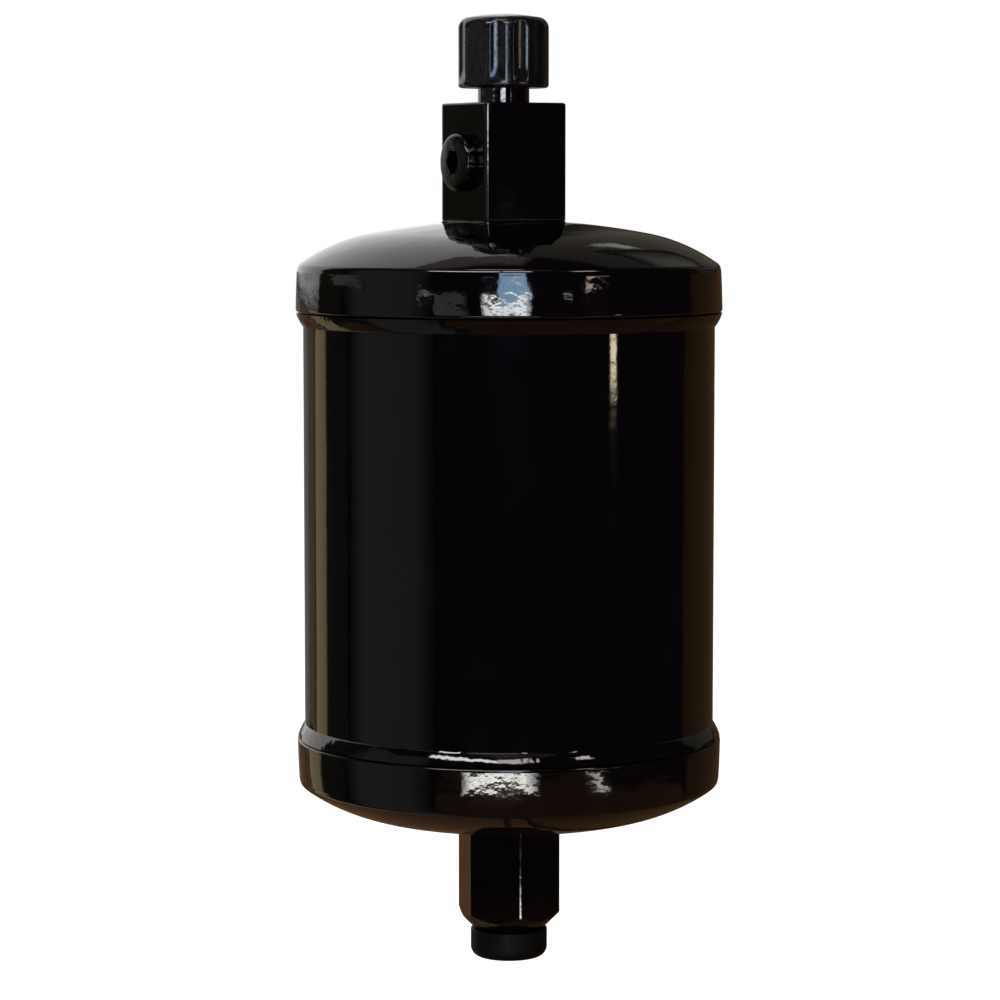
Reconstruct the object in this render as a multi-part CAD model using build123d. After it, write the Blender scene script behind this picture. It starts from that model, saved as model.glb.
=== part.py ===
from build123d import *
import math
import os

# Filter drier: a welded steel canister with a ported inlet block, a service valve and a hexagonal outlet
# fitting. Millimetres. +Z runs up the canister's axis, from the outlet to the inlet, and the origin is the
# middle of the tube.

# Canister tube
TUBE_OD = 88.9
TUBE_WALL = 1.5
TUBE_LENGTH = 107.5

# Drawn end caps, which slip over the tube
CAP_SHEET = 1.6
CAP_OVERLAP = 7.55
CROWN_RADIUS = 160.0
KNUCKLE_RADIUS = 38.0
KNUCKLE_WIDTH = 14.45
SHOULDER_FILLET = 1.6
SEAT_SINK = 0.35
BEAD_LENGTH = 3.2
BEAD_CROWN = 0.3

# Spigots of both fittings, brazed into the end caps
SPIGOT_R = 6.35
SPIGOT_REACH = 1.5
BRAZE_GAP = 0.05
BRAZE_LEG = 0.9

# Inlet block, a length of square bar that stands a little off the canister's axis
BLOCK_SIDE = 20.0
BLOCK_HEIGHT = 25.4
BLOCK_TURN = 30.0
BLOCK_OFFSET_X = -1.2
BLOCK_EDGE = 0.45
MAIN_BORE_R = 2.4

# Inlet port in one side of the block, 3/8-24 thread with an O-ring pocket
PORT_ANGLE = 210.0
PORT_R = 4.7625
PORT_FLOOR = 1.5
POCKET_STEP = 0.74
POCKET_DEPTH = 1.6
PLUG_HEAD_STEP = 0.65
PLUG_HEAD_THICK = 2.5
PLUG_RIM_FILLET = 1.0
PLUG_NECK_STEP = 0.81
PLUG_THREAD_LENGTH = 4.3
PLUG_SOCKET_AF = 4.76
PLUG_SOCKET_DEPTH = 2.2

# Service valve stem, 7/16-20 thread, brazed into the top of the block
STEM_R = 5.556
STEM_HEIGHT = 14.1
STEM_TIP_CHAMFER = 0.8
STEM_SPIGOT_STEP = 0.85
STEM_SPIGOT_DEPTH = 6.0
STEM_BORE_R = 1.9
VALVE_BORE_R = 2.65
VALVE_BORE_DEPTH = 7.5
VALVE_SEAT_DEPTH = 1.0

# Valve core
CORE_HEAD_DROP = 0.5
CORE_HEAD_LENGTH = 5.6
CORE_BARREL_GAP = 0.2
CORE_BARREL_LENGTH = 8.9
CORE_LEDGE = 1.0
CORE_BARREL_WALL = 0.45
CORE_CHAMBER_LENGTH = 6.5
CORE_SLOT_WIDTH = 1.2
CORE_SLOT_DEPTH = 1.6
CORE_GASKET_LENGTH = 1.8
PIN_R = 0.5
PIN_TOP_GAP = 0.3
PIN_DROP = 0.2
PIN_COLLAR_SIDE_GAP = 0.15
PIN_COLLAR = 0.6
PIN_COLLAR_GAP = 0.1
SEAL_EDGE = 0.2
SEAL_THICK = 1.2
SEAL_FLANGE = 0.3
PIN_SPRING_WIRE_R = 0.14
PIN_SPRING_TURNS = 6

# Moulded cap of the service valve
ACCESS_CAP_R = 9.75
ACCESS_CAP_START = 3.2
ACCESS_CAP_ROOF = 3.3
ACCESS_CAP_EDGE = 1.9
ACCESS_CAP_CROWN = 0.7
ACCESS_CAP_FOOT = 0.8
RIB_COUNT = 12
RIB_PHASE = -82.4
FLUTE_R = 2.6
FLUTE_DEPTH = 0.62
FLUTE_FOOT = 1.1
GASKET_THICK = 1.6
GASKET_EDGE_GAP = 0.4

# Outlet fitting, turned from hexagonal bar, 9/16-18 thread with a face seal
HEX_AF = 20.0
HEX_TURN = -16.7
HEX_LENGTH = 23.2
HEX_NOSE_STEP = 0.45
OUTLET_R = 7.144
OUTLET_LENGTH = 5.1
OUTLET_TIP_CHAMFER = 1.0
OUTLET_BORE_R = 2.4
FACE_RING_INSET = 2.4
FACE_RING_WIRE_R = 0.85
FACE_RING_STANDS = 0.25

# Dust cap on the outlet
DUST_CAP_WALL = 1.156
DUST_CAP_FLOOR = 0.9
DUST_CAP_GAP = 0.4
DUST_CAP_EDGE = 2.17

# Filter stack inside the canister
PLATE_SHEET = 1.2
PLATE_RISE = 8.0
PLATE_CUP_GAP = 4.75
PLATE_RIM_GAP = 0.15
CORE_GAP = 1.5
CORE_HEADROOM = 11.5
CORE_BORE_R = 11.0
CORE_ROOF = 20.0
CORE_CHAMFER = 1.5
SEAT_RING_THICK = 2.0
SEAT_RING_BORE_R = 13.0
INLET_PAD_THICK = 3.0
OUTLET_PAD_THICK = 3.0
SCREEN_THICK = 0.5
HOLE_R = 2.4
HOLE_PITCH = 8.4
CORE_SPRING_WIRE_R = 1.1
CORE_SPRING_TOP_R = 12.5
CORE_SPRING_INSET = 11.45
CORE_SPRING_TURNS = 3.5

# Clearances
THREAD_GAP = 0.05
SLIP_GAP = 0.05
TOUCH_GAP = 0.05

# Heights and radii that follow from the sizes above
TUBE_R = TUBE_OD / 2
TUBE_BORE_R = TUBE_R - TUBE_WALL
TUBE_TOP = TUBE_LENGTH / 2
CAP_R = TUBE_R + CAP_SHEET
CAP_LIP = TUBE_TOP - CAP_OVERLAP
INNER_SHOULDER = TUBE_TOP + PLATE_SHEET + TOUCH_GAP

KNUCKLE_START = TUBE_R - KNUCKLE_WIDTH
KNUCKLE_ANGLE = math.asin(KNUCKLE_START / CROWN_RADIUS)
KNUCKLE_X = KNUCKLE_START - KNUCKLE_RADIUS * math.sin(KNUCKLE_ANGLE)
KNUCKLE_Z = INNER_SHOULDER - math.sqrt(
    (KNUCKLE_RADIUS - CAP_SHEET) ** 2 - (TUBE_R - KNUCKLE_X) ** 2
)
CROWN_Z = KNUCKLE_Z - (CROWN_RADIUS - KNUCKLE_RADIUS) * math.cos(KNUCKLE_ANGLE)
SEAT_Z = CROWN_Z + CROWN_RADIUS - SEAT_SINK

BLOCK_TOP = SEAT_Z + BLOCK_HEIGHT
BLOCK_FACE = BLOCK_SIDE / 2
PORT_Z = SEAT_Z + BLOCK_HEIGHT / 2
POCKET_R = PORT_R + POCKET_STEP
PLUG_HEAD_R = POCKET_R + PLUG_HEAD_STEP
PLUG_NECK_R = PORT_R - PLUG_NECK_STEP
PLUG_END = BLOCK_FACE - POCKET_DEPTH - PLUG_THREAD_LENGTH

STEM_SPIGOT_R = STEM_R - STEM_SPIGOT_STEP
STEM_TOP = BLOCK_TOP + STEM_HEIGHT
VALVE_SHOULDER = STEM_TOP - VALVE_BORE_DEPTH
ACCESS_CAP_FOOT_Z = BLOCK_TOP + ACCESS_CAP_START
ACCESS_CAP_CEILING = STEM_TOP + GASKET_THICK
ACCESS_CAP_TOP = ACCESS_CAP_CEILING + ACCESS_CAP_ROOF
GASKET_R = STEM_R + THREAD_GAP - GASKET_EDGE_GAP

CORE_HEAD_R = VALVE_BORE_R - SLIP_GAP
CORE_BARREL_R = STEM_BORE_R - CORE_BARREL_GAP
CORE_CHAMBER_R = CORE_BARREL_R - CORE_BARREL_WALL
PIN_COLLAR_R = CORE_CHAMBER_R - PIN_COLLAR_SIDE_GAP
PIN_SPRING_R = (PIN_R + CORE_CHAMBER_R) / 2
SEAL_R = CORE_BARREL_R - SEAL_EDGE
CORE_HEAD_TOP = STEM_TOP - CORE_HEAD_DROP
CORE_HEAD_FOOT = CORE_HEAD_TOP - CORE_HEAD_LENGTH
CORE_BARREL_FOOT = CORE_HEAD_FOOT - CORE_BARREL_LENGTH
CHAMBER_FOOT = CORE_BARREL_FOOT + CORE_LEDGE
CHAMBER_TOP = CHAMBER_FOOT + CORE_CHAMBER_LENGTH
COLLAR_TOP = CHAMBER_TOP - PIN_COLLAR_GAP
COLLAR_FOOT = COLLAR_TOP - PIN_COLLAR

HEX_FACE = -SEAT_Z
HEX_END = HEX_FACE - HEX_LENGTH
HEX_CORNER_R = HEX_AF / math.sqrt(3)
HEX_NOSE_R = OUTLET_R + HEX_NOSE_STEP
OUTLET_END = HEX_END - OUTLET_LENGTH
FACE_RING_R = OUTLET_R - FACE_RING_INSET
DUST_CAP_R = OUTLET_R + SLIP_GAP + DUST_CAP_WALL
DUST_CAP_INSIDE = OUTLET_END - DUST_CAP_GAP
DUST_CAP_END = DUST_CAP_INSIDE - DUST_CAP_FLOOR

PLATE_TOP = PLATE_RISE - TUBE_TOP
PLATE_CUP_R = TUBE_BORE_R - PLATE_CUP_GAP
CORE_FOOT = PLATE_TOP + SEAT_RING_THICK
CORE_TOP = TUBE_TOP - CORE_HEADROOM
CORE_R = TUBE_BORE_R - CORE_GAP
CORE_SPRING_FOOT_R = CORE_R - CORE_SPRING_INSET
PRESSURE_PLATE_FOOT = CORE_TOP + INLET_PAD_THICK
PRESSURE_PLATE_TOP = PRESSURE_PLATE_FOOT + PLATE_SHEET


def rod(radius, low, high):
    """A cylinder on the Z axis between two heights."""
    return Pos(0, 0, (low + high) / 2) * Cylinder(radius, high - low)


def ring(outer, inner, low, high):
    """A plain ring on the Z axis between two heights."""
    return rod(outer, low, high) - rod(inner, low, high)


def turned(*outline):
    """A solid turned about Z from a closed outline of (radius, height) points."""
    return revolve(make_face(Plane.XZ * Polyline(*outline, close=True)), Axis.Z)


def on_circle(radius, angle, x, z):
    """The point at an angle from +Z on a circle about (x, z)."""
    return (x + radius * math.sin(angle), z + radius * math.cos(angle))


def arc(radius, start, end, x, z):
    """An arc about (x, z) between two angles from +Z."""
    return ThreePointArc(
        on_circle(radius, start, x, z),
        on_circle(radius, (start + end) / 2, x, z),
        on_circle(radius, end, x, z),
    )


def coil(wire_r, foot_r, top_r, foot, top, turns):
    """A round-wire spring on Z, straight or conical, between the heights of its end centres."""
    rise = top - foot
    cone = math.degrees(math.atan((top_r - foot_r) / rise))
    path = Pos(0, 0, foot) * Helix(rise / turns, rise, foot_r, cone_angle=cone)
    section = Plane(origin=path @ 0, z_dir=path % 0) * Circle(wire_r)
    return sweep(section, path, is_frenet=True)


def at_inlet(shape):
    """Moves a piece from the Z axis to the inlet block's axis."""
    return Pos(BLOCK_OFFSET_X, 0, 0) * shape


def at_port(shape):
    """Lays a piece made about +Z along the inlet port, its height measured from the block's axis."""
    return at_inlet(Pos(0, 0, PORT_Z) * Rot(0, 0, PORT_ANGLE) * Rot(0, 90, 0) * shape)


def upside_down(shape):
    """Turns a piece of the inlet end over to the outlet end."""
    return Rot(180, 0, 0) * shape


# Canister


def dome_blank(inset):
    """The filled outside of an end cap, or with an inset of the sheet, its filled inside."""
    crown = CROWN_RADIUS - inset
    knuckle = KNUCKLE_RADIUS - inset
    wall = CAP_R - inset
    seat = SEAT_Z - inset
    seat_angle = math.acos((seat - CROWN_Z) / crown)
    wall_angle = math.asin((wall - KNUCKLE_X) / knuckle)
    crown_arc = arc(crown, seat_angle, KNUCKLE_ANGLE, 0, CROWN_Z)
    knuckle_arc = arc(knuckle, KNUCKLE_ANGLE, wall_angle, KNUCKLE_X, KNUCKLE_Z)
    rest = Polyline(knuckle_arc @ 1, (wall, CAP_LIP), (0, CAP_LIP), (0, seat), crown_arc @ 0)
    section = make_face(crown_arc + knuckle_arc + rest)
    shoulder = section.vertices().sort_by(Axis.X)[-2:].sort_by(Axis.Y)[-1]
    section = fillet(shoulder, SHOULDER_FILLET - inset / 2)
    return revolve(Plane.XZ * section, Axis.Z)


def make_end_cap():
    return dome_blank(0) - dome_blank(CAP_SHEET)


def spigot_hole():
    return rod(SPIGOT_R + BRAZE_GAP, CAP_LIP, SEAT_Z + CAP_SHEET)


def make_inlet_end_cap():
    return make_end_cap() - at_inlet(spigot_hole())


def make_outlet_end_cap():
    return upside_down(make_end_cap() - spigot_hole())


def make_tube():
    return ring(TUBE_R, TUBE_BORE_R, -TUBE_TOP, TUBE_TOP)


def make_seam_bead():
    """The weld between an end cap's lip and the tube."""
    toe = (TUBE_R, CAP_LIP - BEAD_LENGTH)
    lip = (CAP_R, CAP_LIP)
    middle = (
        (toe[0] + lip[0]) / 2 + BEAD_CROWN,
        (toe[1] + lip[1]) / 2 - BEAD_CROWN * CAP_SHEET / BEAD_LENGTH,
    )
    back = Polyline(lip, (TUBE_R, CAP_LIP), toe)
    return revolve(make_face(Plane.XZ * (ThreePointArc(toe, middle, lip) + back)), Axis.Z)


# Inlet block


def block_bar(side, low, high):
    """A square bar about Z, turned to the block's angle."""
    bar = Box(side, side, high - low)
    return Pos(0, 0, (low + high) / 2) * Rot(0, 0, BLOCK_TURN) * bar


def make_inlet_block():
    bar = Rot(0, 0, BLOCK_TURN) * chamfer(
        Box(BLOCK_SIDE, BLOCK_SIDE, BLOCK_HEIGHT).edges(), BLOCK_EDGE
    )
    body = Pos(0, 0, SEAT_Z + BLOCK_HEIGHT / 2) * bar
    spigot = rod(SPIGOT_R, SEAT_Z - CAP_SHEET - SPIGOT_REACH, SEAT_Z + BLOCK_EDGE)
    bore_top = PORT_Z + PORT_R
    bore = rod(MAIN_BORE_R, SEAT_Z - CAP_SHEET - SPIGOT_REACH, bore_top)
    socket = rod(STEM_SPIGOT_R + BRAZE_GAP, BLOCK_TOP - STEM_SPIGOT_DEPTH, BLOCK_TOP)
    passage = rod(STEM_BORE_R, PORT_Z, BLOCK_TOP)
    port = rod(PORT_R, PORT_FLOOR, BLOCK_FACE)
    pocket = rod(POCKET_R, BLOCK_FACE - POCKET_DEPTH, BLOCK_FACE)
    return at_inlet(body + spigot - bore - socket - passage) - at_port(port + pocket)


def make_inlet_braze():
    """The braze fillet around the foot of the block, where it meets the dome."""
    foot = BLOCK_SIDE + 2 * BRAZE_LEG
    base = Pos(0, 0, SEAT_Z) * Rot(0, 0, BLOCK_TURN) * Rectangle(foot, foot)
    slope = extrude(base, BRAZE_LEG, taper=45)
    skirt = block_bar(foot, SEAT_Z - CAP_SHEET, SEAT_Z)
    core = block_bar(BLOCK_SIDE, SEAT_Z - CAP_SHEET, SEAT_Z + BRAZE_LEG)
    land = block_bar(BLOCK_SIDE - 2 * BLOCK_EDGE, SEAT_Z - CAP_SHEET, SEAT_Z + BRAZE_LEG)
    return at_inlet(slope + skirt - core - land) - dome_blank(0)


def make_port_plug():
    """A flanged plug with a hexagon socket, screwed into the inlet port."""
    underside = BLOCK_FACE + TOUCH_GAP
    thread = rod(PORT_R - THREAD_GAP, PLUG_END, BLOCK_FACE - POCKET_DEPTH)
    neck = rod(PLUG_NECK_R, BLOCK_FACE - POCKET_DEPTH, underside)
    head = rod(PLUG_HEAD_R, underside, underside + PLUG_HEAD_THICK)
    rim = head.edges().filter_by(GeomType.CIRCLE).sort_by(Axis.Z)[-1]
    head = fillet(rim, PLUG_RIM_FILLET)
    top = underside + PLUG_HEAD_THICK
    outline = RegularPolygon(PLUG_SOCKET_AF / 2, 6, major_radius=False)
    socket = extrude(Pos(0, 0, top - PLUG_SOCKET_DEPTH) * outline, PLUG_SOCKET_DEPTH)
    return at_port(head + neck + thread - socket)


def make_port_ring():
    """The O-ring in the pocket behind the plug's flange."""
    wire_r = (POCKET_R - PLUG_NECK_R) / 2 - SLIP_GAP
    torus = Torus((POCKET_R + PLUG_NECK_R) / 2, wire_r)
    return at_port(Pos(0, 0, BLOCK_FACE - POCKET_DEPTH / 2) * torus)


# Service valve


def make_valve_stem():
    stem = turned(
        (0, BLOCK_TOP - STEM_SPIGOT_DEPTH),
        (STEM_SPIGOT_R, BLOCK_TOP - STEM_SPIGOT_DEPTH),
        (STEM_SPIGOT_R, BLOCK_TOP),
        (STEM_R, BLOCK_TOP),
        (STEM_R, STEM_TOP - STEM_TIP_CHAMFER),
        (STEM_R - STEM_TIP_CHAMFER, STEM_TOP),
        (0, STEM_TOP),
    )
    bore = turned(
        (0, BLOCK_TOP - STEM_SPIGOT_DEPTH),
        (STEM_BORE_R, BLOCK_TOP - STEM_SPIGOT_DEPTH),
        (STEM_BORE_R, VALVE_SHOULDER - VALVE_SEAT_DEPTH),
        (VALVE_BORE_R, VALVE_SHOULDER),
        (VALVE_BORE_R, STEM_TOP),
        (0, STEM_TOP),
    )
    return at_inlet(stem - bore)


def make_valve_core_body():
    """The threaded valve core, with a driver slot across its head."""
    head = rod(CORE_HEAD_R, CORE_HEAD_FOOT, CORE_HEAD_TOP)
    barrel = rod(CORE_BARREL_R, CORE_BARREL_FOOT, CORE_HEAD_FOOT)
    guide = rod(PIN_R + PIN_TOP_GAP, CHAMBER_TOP, CORE_HEAD_TOP)
    chamber = rod(CORE_CHAMBER_R, CHAMBER_FOOT, CHAMBER_TOP)
    ledge_hole = rod(PIN_R + SLIP_GAP, CORE_BARREL_FOOT, CHAMBER_FOOT)
    slot = Pos(0, 0, CORE_HEAD_TOP - CORE_SLOT_DEPTH / 2) * Box(
        CORE_SLOT_WIDTH, 2 * CORE_HEAD_R, CORE_SLOT_DEPTH
    )
    sides = rod(CORE_HEAD_R, CORE_HEAD_TOP - CORE_SLOT_DEPTH, CORE_HEAD_TOP) - Pos(
        0, 0, CORE_HEAD_TOP
    ) * Box(2 * CORE_HEAD_R, 2 * CORE_BARREL_R, 2 * CORE_SLOT_DEPTH)
    return at_inlet(head + barrel - guide - chamber - ledge_hole - slot - sides)


def make_valve_core_gasket():
    """The tapered sealing sleeve between the valve core and its seat in the stem."""
    inner = CORE_BARREL_R
    outer = VALVE_BORE_R - 2 * SLIP_GAP
    low = CORE_HEAD_FOOT - CORE_GASKET_LENGTH
    taper = CORE_HEAD_FOOT - CORE_GASKET_LENGTH / 2
    return at_inlet(
        turned(
            (inner, low),
            (STEM_BORE_R + SLIP_GAP, low),
            (outer, taper),
            (outer, CORE_HEAD_FOOT),
            (inner, CORE_HEAD_FOOT),
        )
    )


def make_valve_pin():
    """The pin that opens the valve core when it is pressed."""
    stop = CORE_BARREL_FOOT - SEAL_THICK
    shaft = rod(PIN_R, stop, CORE_HEAD_TOP - PIN_DROP)
    collar = rod(PIN_COLLAR_R, COLLAR_FOOT, COLLAR_TOP)
    flange = rod(SEAL_R, stop - SEAL_FLANGE, stop)
    return at_inlet(shaft + collar + flange)


def make_valve_seal():
    """The rubber washer that closes the valve core's lower end."""
    return at_inlet(ring(SEAL_R, PIN_R, CORE_BARREL_FOOT - SEAL_THICK, CORE_BARREL_FOOT))


def make_valve_spring():
    reach = PIN_SPRING_WIRE_R + TOUCH_GAP
    return at_inlet(
        coil(
            PIN_SPRING_WIRE_R,
            PIN_SPRING_R,
            PIN_SPRING_R,
            CHAMBER_FOOT + reach,
            COLLAR_FOOT - reach,
            PIN_SPRING_TURNS,
        )
    )


def flute(angle):
    """One groove down the side of the access cap, open at the top and run out above the foot."""
    centre = ACCESS_CAP_R + FLUTE_R - FLUTE_DEPTH
    low = ACCESS_CAP_FOOT_Z + FLUTE_FOOT
    groove = Pos(centre, 0, 0) * rod(FLUTE_R, low, ACCESS_CAP_TOP + ACCESS_CAP_CROWN)
    return Rot(0, 0, angle) * groove


def make_access_cap():
    """A fluted screw cap with a rounded, slightly crowned top."""
    edge = ACCESS_CAP_R - ACCESS_CAP_EDGE
    top = ACCESS_CAP_TOP - ACCESS_CAP_CROWN
    bend = math.sqrt(0.5) * ACCESS_CAP_EDGE
    crown = ThreePointArc((0, ACCESS_CAP_TOP), (edge / 2, top + ACCESS_CAP_CROWN * 0.75), (edge, top))
    corner = ThreePointArc(
        crown @ 1,
        (edge + bend, top - ACCESS_CAP_EDGE + bend),
        (ACCESS_CAP_R, top - ACCESS_CAP_EDGE),
    )
    side = Polyline(
        corner @ 1,
        (ACCESS_CAP_R, ACCESS_CAP_FOOT_Z + ACCESS_CAP_FOOT),
        (ACCESS_CAP_R - ACCESS_CAP_FOOT, ACCESS_CAP_FOOT_Z),
        (0, ACCESS_CAP_FOOT_Z),
        (0, ACCESS_CAP_TOP),
    )
    blank = revolve(make_face(Plane.XZ * (crown + corner + side)), Axis.Z)
    for index in range(RIB_COUNT):
        blank -= flute(RIB_PHASE + (index + 0.5) * 360 / RIB_COUNT)
    bore = rod(STEM_R + THREAD_GAP, ACCESS_CAP_FOOT_Z, ACCESS_CAP_CEILING)
    return at_inlet(blank - bore)


def make_access_gasket():
    """The sealing disc under the access cap's roof, which bears on the end of the stem."""
    return at_inlet(rod(GASKET_R, STEM_TOP, ACCESS_CAP_CEILING))


# Outlet fitting


def hexagon(radius, low, high):
    """A hexagonal bar about Z, turned to the fitting's angle, with this half width across flats."""
    outline = Rot(0, 0, HEX_TURN) * RegularPolygon(radius, 6, major_radius=False)
    return extrude(Pos(0, 0, low) * outline, high - low)


def make_outlet_fitting():
    bar = hexagon(HEX_AF / 2, HEX_END, HEX_FACE)
    cone = turned(
        (0, HEX_FACE),
        (HEX_CORNER_R, HEX_FACE),
        (HEX_CORNER_R, HEX_END + HEX_CORNER_R - HEX_NOSE_R),
        (HEX_NOSE_R, HEX_END),
        (0, HEX_END),
    )
    spigot = rod(SPIGOT_R, HEX_FACE, HEX_FACE + CAP_SHEET + SPIGOT_REACH)
    stub = turned(
        (0, HEX_END),
        (OUTLET_R, HEX_END),
        (OUTLET_R, OUTLET_END + OUTLET_TIP_CHAMFER),
        (OUTLET_R - OUTLET_TIP_CHAMFER, OUTLET_END),
        (0, OUTLET_END),
    )
    bore = rod(OUTLET_BORE_R, OUTLET_END, HEX_FACE + CAP_SHEET + SPIGOT_REACH)
    half = FACE_RING_WIRE_R + SLIP_GAP
    depth = 2 * FACE_RING_WIRE_R + SLIP_GAP - FACE_RING_STANDS
    groove = ring(FACE_RING_R + half, FACE_RING_R - half, OUTLET_END, OUTLET_END + depth)
    return (bar & cone) + spigot + stub - bore - groove


def make_outlet_ring():
    """The face-seal O-ring, which stands a little proud of the fitting's end."""
    centre = OUTLET_END - FACE_RING_STANDS + FACE_RING_WIRE_R
    return Pos(0, 0, centre) * Torus(FACE_RING_R, FACE_RING_WIRE_R)


def make_outlet_braze():
    """The braze fillet around the top of the hexagon, where it meets the dome."""
    foot = HEX_AF / 2 + BRAZE_LEG
    outline = Rot(0, 0, HEX_TURN) * RegularPolygon(foot, 6, major_radius=False)
    slope = extrude(Pos(0, 0, HEX_FACE) * outline, -BRAZE_LEG, taper=45)
    skirt = hexagon(foot, HEX_FACE, HEX_FACE + CAP_SHEET)
    core = hexagon(HEX_AF / 2, HEX_FACE - BRAZE_LEG, HEX_FACE + CAP_SHEET)
    return slope + skirt - core - upside_down(dome_blank(0))


def make_dust_cap():
    """The soft cap that slips over the outlet thread."""
    mouth = HEX_END - TOUCH_GAP
    shell = rod(DUST_CAP_R, DUST_CAP_END, mouth)
    rim = shell.edges().filter_by(GeomType.CIRCLE).sort_by(Axis.Z)[0]
    shell = fillet(rim, DUST_CAP_EDGE)
    inside = turned(
        (0, mouth),
        (OUTLET_R + SLIP_GAP, mouth),
        (OUTLET_R + SLIP_GAP, DUST_CAP_INSIDE + OUTLET_TIP_CHAMFER),
        (OUTLET_R + SLIP_GAP - OUTLET_TIP_CHAMFER, DUST_CAP_INSIDE),
        (0, DUST_CAP_INSIDE),
    )
    return shell - inside


# Filter stack


def perforations(edge_r, low, high):
    """Rings of round holes that fill a plate as far out as an edge radius."""
    holes = rod(HOLE_R, low, high)
    for index in range(1, int((edge_r - HOLE_R) / HOLE_PITCH) + 1):
        radius = index * HOLE_PITCH
        centre = Pos(0, 0, (low + high) / 2)
        holes += centre * PolarLocations(radius, 6 * index) * Cylinder(HOLE_R, high - low)
    return holes


def make_core_spring():
    """The conical spring that keeps the filter stack pressed against the outlet plate."""
    top_r = CORE_SPRING_TOP_R
    ceiling = CROWN_Z + math.sqrt((CROWN_RADIUS - CAP_SHEET) ** 2 - (top_r + CORE_SPRING_WIRE_R) ** 2)
    reach = CORE_SPRING_WIRE_R + TOUCH_GAP
    return coil(
        CORE_SPRING_WIRE_R,
        CORE_SPRING_FOOT_R,
        top_r,
        PRESSURE_PLATE_TOP + reach,
        ceiling - reach,
        CORE_SPRING_TURNS,
    )


def make_pressure_plate():
    plate = rod(CORE_R, PRESSURE_PLATE_FOOT, PRESSURE_PLATE_TOP)
    return plate - perforations(CORE_R - HOLE_R, PRESSURE_PLATE_FOOT, PRESSURE_PLATE_TOP)


def make_inlet_pad():
    return rod(CORE_R, CORE_TOP, PRESSURE_PLATE_FOOT)


def make_desiccant_core():
    """The moulded desiccant block, bored from the outlet end."""
    block = rod(CORE_R, CORE_FOOT, CORE_TOP)
    block = chamfer(block.edges().filter_by(GeomType.CIRCLE), CORE_CHAMFER)
    return block - rod(CORE_BORE_R, CORE_FOOT, CORE_TOP - CORE_ROOF)


def make_core_seat_ring():
    """The felt ring that seals the core's foot against the outlet plate."""
    return ring(PLATE_CUP_R, SEAT_RING_BORE_R, PLATE_TOP, CORE_FOOT)


def make_outlet_plate():
    """A pressed, perforated plate whose flange is trapped between the tube and the outlet end cap."""
    floor = PLATE_TOP - PLATE_SHEET
    flange_foot = -TUBE_TOP - PLATE_SHEET
    flange_r = TUBE_R - PLATE_RIM_GAP
    pressed = turned(
        (0, PLATE_TOP),
        (PLATE_CUP_R, PLATE_TOP),
        (PLATE_CUP_R, -TUBE_TOP),
        (flange_r, -TUBE_TOP),
        (flange_r, flange_foot),
        (PLATE_CUP_R - PLATE_SHEET, flange_foot),
        (PLATE_CUP_R - PLATE_SHEET, floor),
        (0, floor),
    )
    return pressed - perforations(PLATE_CUP_R - HOLE_R, floor, PLATE_TOP)


def make_outlet_pad():
    high = PLATE_TOP - PLATE_SHEET
    return rod(PLATE_CUP_R - PLATE_SHEET - SLIP_GAP, high - OUTLET_PAD_THICK, high)


def make_outlet_screen():
    high = PLATE_TOP - PLATE_SHEET - OUTLET_PAD_THICK
    return rod(PLATE_CUP_R - PLATE_SHEET - SLIP_GAP, high - SCREEN_THICK, high)


PIECES = {
    "canister_tube": make_tube,
    "inlet_end_cap": make_inlet_end_cap,
    "outlet_end_cap": make_outlet_end_cap,
    "inlet_seam_bead": make_seam_bead,
    "outlet_seam_bead": lambda: upside_down(make_seam_bead()),
    "inlet_block": make_inlet_block,
    "inlet_braze": make_inlet_braze,
    "port_plug": make_port_plug,
    "port_o_ring": make_port_ring,
    "valve_stem": make_valve_stem,
    "valve_core_body": make_valve_core_body,
    "valve_core_gasket": make_valve_core_gasket,
    "valve_pin": make_valve_pin,
    "valve_seal": make_valve_seal,
    "valve_spring": make_valve_spring,
    "access_cap": make_access_cap,
    "access_cap_gasket": make_access_gasket,
    "outlet_fitting": make_outlet_fitting,
    "outlet_o_ring": make_outlet_ring,
    "outlet_braze": make_outlet_braze,
    "dust_cap": make_dust_cap,
    "core_spring": make_core_spring,
    "pressure_plate": make_pressure_plate,
    "inlet_pad": make_inlet_pad,
    "desiccant_core": make_desiccant_core,
    "core_seat_ring": make_core_seat_ring,
    "outlet_plate": make_outlet_plate,
    "outlet_pad": make_outlet_pad,
    "outlet_screen": make_outlet_screen,
}

os.makedirs("parts", exist_ok=True)
for name, make in PIECES.items():
    export_step(make(), f"parts/{name}.step")
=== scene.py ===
import math

import bmesh
import bpy
from mathutils import Matrix, Vector


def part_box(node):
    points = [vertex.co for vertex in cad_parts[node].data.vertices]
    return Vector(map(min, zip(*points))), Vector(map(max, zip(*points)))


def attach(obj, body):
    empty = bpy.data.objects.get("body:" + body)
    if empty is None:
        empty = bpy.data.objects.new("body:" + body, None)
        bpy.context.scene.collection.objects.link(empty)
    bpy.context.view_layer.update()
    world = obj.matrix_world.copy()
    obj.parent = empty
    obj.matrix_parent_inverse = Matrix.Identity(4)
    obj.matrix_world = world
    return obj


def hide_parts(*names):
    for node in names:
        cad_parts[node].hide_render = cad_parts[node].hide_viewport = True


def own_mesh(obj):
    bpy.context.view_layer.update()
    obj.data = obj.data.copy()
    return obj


# Filter drier: a welded steel canister in glossy black enamel, with a ported inlet block, a capped service
# valve and a hexagonal outlet fitting under a dust cap. Metres, +Z up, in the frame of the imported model.

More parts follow.
